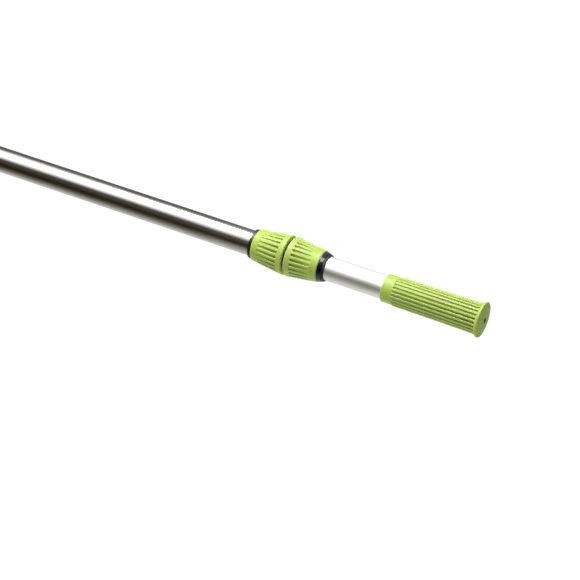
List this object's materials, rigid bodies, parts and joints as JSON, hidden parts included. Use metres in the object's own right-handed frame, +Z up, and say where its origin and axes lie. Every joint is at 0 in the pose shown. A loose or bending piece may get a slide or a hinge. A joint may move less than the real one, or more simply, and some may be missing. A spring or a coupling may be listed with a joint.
{
  "type": "telescopic pole",
  "caption": "Sliding aluminium pole with an outside twist lock, ribbed soft collar halves and a ribbed end grip.",
  "frame": {"origin": "on the pole's axis, at the mouth of the outer tube, where a tool's handle goes in", "axes": "+X along the pole towards the grip, +Z up as the pole lies, clip holes along Y"},
  "size_m": [0.8489, 0.047, 0.047],
  "materials": {
    "polished_aluminium": "drawn and polished, clear anodised",
    "satin_aluminium": "drawn, etched and satin anodised",
    "rivet_aluminium": "bright",
    "black_plastic": "moulded, semi-gloss",
    "black_rubber": "moulded, satin",
    "natural_acetal": "turned, waxy",
    "spring_steel": "bright",
    "lime_sleeve": "soft thermoplastic rubber, satin",
    "lime_grip": "soft thermoplastic rubber, satin"
  },
  "bodies": {
    "outer_section": {"outer_tube": "polished_aluminium", "lock_body": "black_plastic", "body_rivets": "rivet_aluminium", "rear_sleeve": "lime_sleeve"},
    "collet_carrier": {"collet": "natural_acetal", "slip_washer": "natural_acetal"},
    "twist_nut": {"lock_nut": "black_plastic", "front_sleeve": "lime_sleeve", "wiper_ring": "black_rubber"},
    "guide": {"guide_ring": "natural_acetal"},
    "inner_section": {"inner_tube": "satin_aluminium", "end_plug": "black_plastic", "plug_pin": "spring_steel", "retaining_clip": "spring_steel", "grip": "lime_grip", "grip_plug": "black_plastic"}
  },
  "joints": [
    {"name": "nut_advance", "type": "slide", "parent": "outer_section", "child": "collet_carrier", "axis": [1, 0, 0], "range_m": [0, 0.003]},
    {"name": "nut_twist", "type": "hinge", "parent": "collet_carrier", "child": "twist_nut", "pos_m": [0.6083, 0, 0], "axis": [1, 0, 0], "range_deg": [0, 360]},
    {"name": "tube_slide", "type": "slide", "parent": "outer_section", "child": "guide", "axis": [1, 0, 0], "range_m": [-0.066, 0.359]},
    {"name": "tube_spin", "type": "hinge", "parent": "guide", "child": "inner_section", "pos_m": [0.6, 0, 0], "axis": [1, 0, 0], "continuous": true}
  ],
  "couplings": [
    {"joint": "nut_advance", "follows": "nut_twist", "m_per_rad": 0.00047746}
  ]
}
